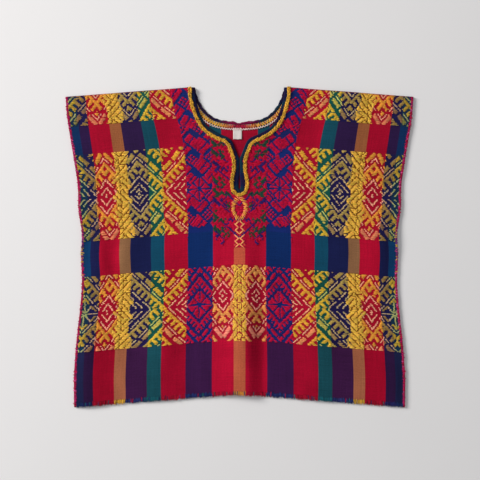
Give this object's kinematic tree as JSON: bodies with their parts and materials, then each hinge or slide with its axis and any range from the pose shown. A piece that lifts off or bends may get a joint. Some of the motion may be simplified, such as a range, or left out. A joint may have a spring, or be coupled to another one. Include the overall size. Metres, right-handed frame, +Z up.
{
  "type": "huipil blouse laid flat",
  "caption": "Flat-laid sleeveless huipil blouse: two striped, brocaded panels with a corded scoop neck that runs down into a short slit.",
  "frame": {"origin": "on the resting surface, under the middle of the blouse's length and width", "axes": "+X across the blouse (to the right as seen from above with the shoulders at the top), +Y toward the shoulders, +Z up, away from the surface"},
  "size_m": [0.6394, 0.5881, 0.0127],
  "materials": {
    "striped_cloth": "handwoven cotton in warp stripes with raised brocade",
    "binding": "dark striped cotton binding",
    "yellow_cord": "chain-stitched cotton yarn",
    "back_band": "stitched cotton yarn with a white zigzag edge",
    "edge_thread": "overcast cotton yarn",
    "hem_thread": "overcast, lightly frayed cotton",
    "label": "plain woven tape"
  },
  "bodies": {
    "root": {"front_panel": "striped_cloth", "back_panel": "striped_cloth", "neck_binding_front": "binding", "neck_binding_back": "binding", "neck_cord": "yellow_cord", "neck_band_back": "back_band", "armhole_edging_front_left": "edge_thread", "armhole_edging_front_right": "edge_thread", "armhole_edging_back_left": "edge_thread", "armhole_edging_back_right": "edge_thread", "side_seam_left": "edge_thread", "side_seam_right": "edge_thread", "hem_edging_front": "hem_thread", "hem_edging_back": "hem_thread", "label": "label"}
  },
  "joints": []
}
